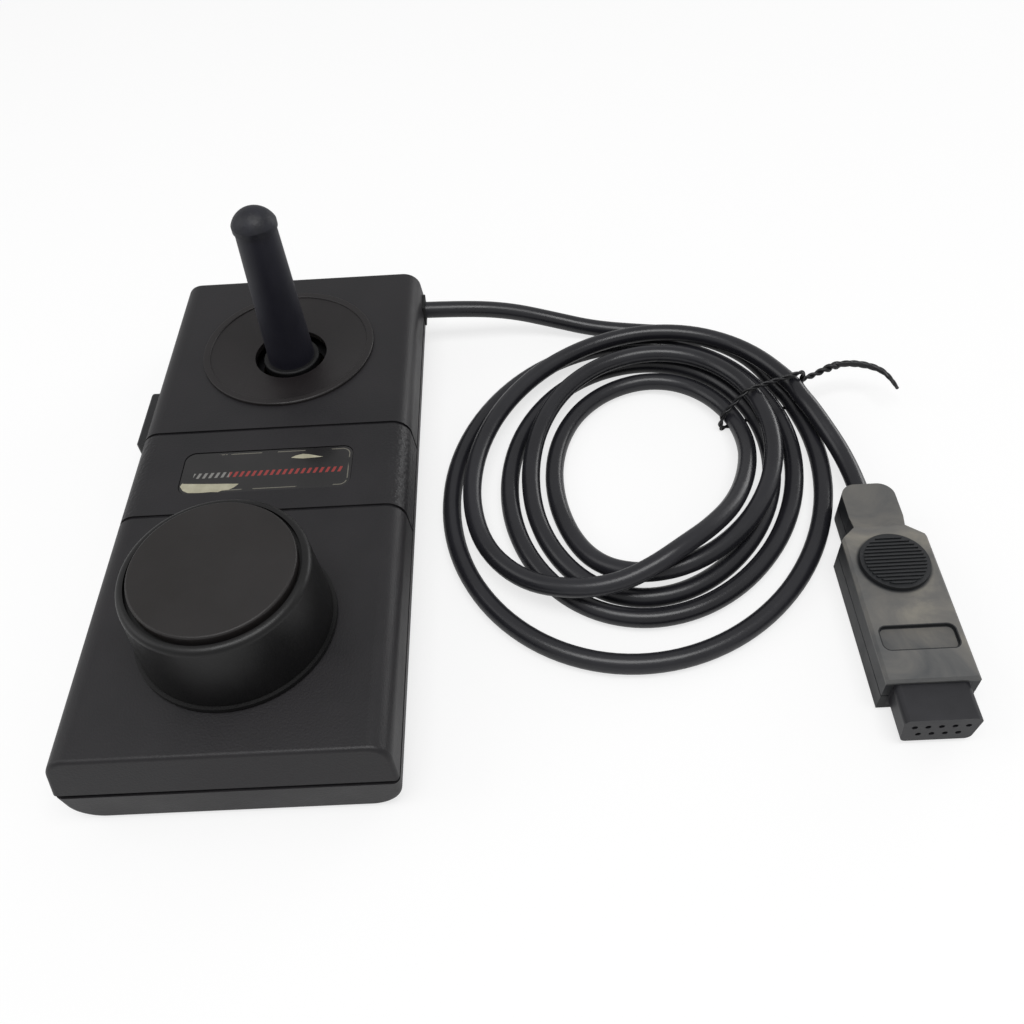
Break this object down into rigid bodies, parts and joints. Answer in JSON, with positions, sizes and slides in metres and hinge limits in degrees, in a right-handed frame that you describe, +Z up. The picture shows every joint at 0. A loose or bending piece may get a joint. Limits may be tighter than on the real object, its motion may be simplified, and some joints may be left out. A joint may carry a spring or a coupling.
{
  "type": "joystick controller",
  "caption": "Corded hand controller with a tilting joystick, a rotary paddle knob, a side fire button and a tied cable coil ending in a D-shaped plug.",
  "frame": {"origin": "middle of the case in plan, on the surface that the case rests on", "axes": "+Z up; +Y along the case from the paddle to the joystick; +X to the side where the cable leaves"},
  "size_m": [0.2023, 0.156, 0.065],
  "materials": {
    "case": "fine moulded texture, worn",
    "label": "glossy, worn through in patches",
    "bezel": "satin, scuffed",
    "frame_plastic": "moulded",
    "steel": "zinc plated",
    "aluminium": "turned",
    "stick": "satin, worn tip",
    "brass": "plain",
    "board": "bare board",
    "pot_can": "pressed can",
    "knob": "fine ridges",
    "knob_top": "satin, scuffed",
    "button": "smooth",
    "wire": "insulated wire",
    "cable": "semi-gloss jacket",
    "tie": "plastic coated wire",
    "plug": "moulded, dusty",
    "nose": "moulded"
  },
  "bodies": {
    "case": {"top_shell": "case", "bottom_shell": "case", "case_screws": "steel", "label_plate": "label", "joystick_bezel": "bezel", "joystick_frame": "frame_plastic", "direction_contacts": "brass", "circuit_board": "board", "board_screws": "steel", "pot_body": "pot_can", "pot_terminals": "brass", "pot_washer": "steel", "pot_nut": "steel", "fire_contact": "brass", "wire_header": "frame_plastic", "inner_wires": "wire", "paddle_wires": "wire", "cable_grommet": "cable", "cable_inner": "cable", "cable_lead": "cable", "cable_coil": "cable", "cable_tail": "cable", "twist_tie": "tie", "plug_upper_housing": "plug", "plug_lower_housing": "plug", "plug_nose": "nose", "plug_contacts": "brass"},
    "gimbal": {"gimbal_ring": "frame_plastic"},
    "stick": {"stick_shaft": "steel", "retaining_clip": "steel", "centring_spring": "steel", "stick_collar": "stick", "stick_grip": "stick", "stick_cap": "stick"},
    "knob": {"pot_shaft": "aluminium", "paddle_knob": "knob", "knob_cap": "knob_top"},
    "button": {"fire_button": "button"}
  },
  "joints": [
    {"name": "stick_tilt_forward", "type": "hinge", "parent": "case", "child": "gimbal", "pos_m": [0, 0.0455, 0.013], "axis": [1, 0, 0], "range_deg": [-12, 12], "stiffness_Nm_per_rad": 0.12},
    {"name": "stick_tilt_sideways", "type": "hinge", "parent": "gimbal", "child": "stick", "pos_m": [0, 0.0455, 0.013], "axis": [0, 1, 0], "range_deg": [-12, 12], "stiffness_Nm_per_rad": 0.12},
    {"name": "paddle_turn", "type": "hinge", "parent": "case", "child": "knob", "pos_m": [0, -0.045, 0.022], "axis": [0, 0, 1], "range_deg": [-135, 135]},
    {"name": "fire_press", "type": "slide", "parent": "case", "child": "button", "axis": [1, 0, 0], "range_m": [0, 0.0015], "stiffness_N_per_m": 400}
  ]
}
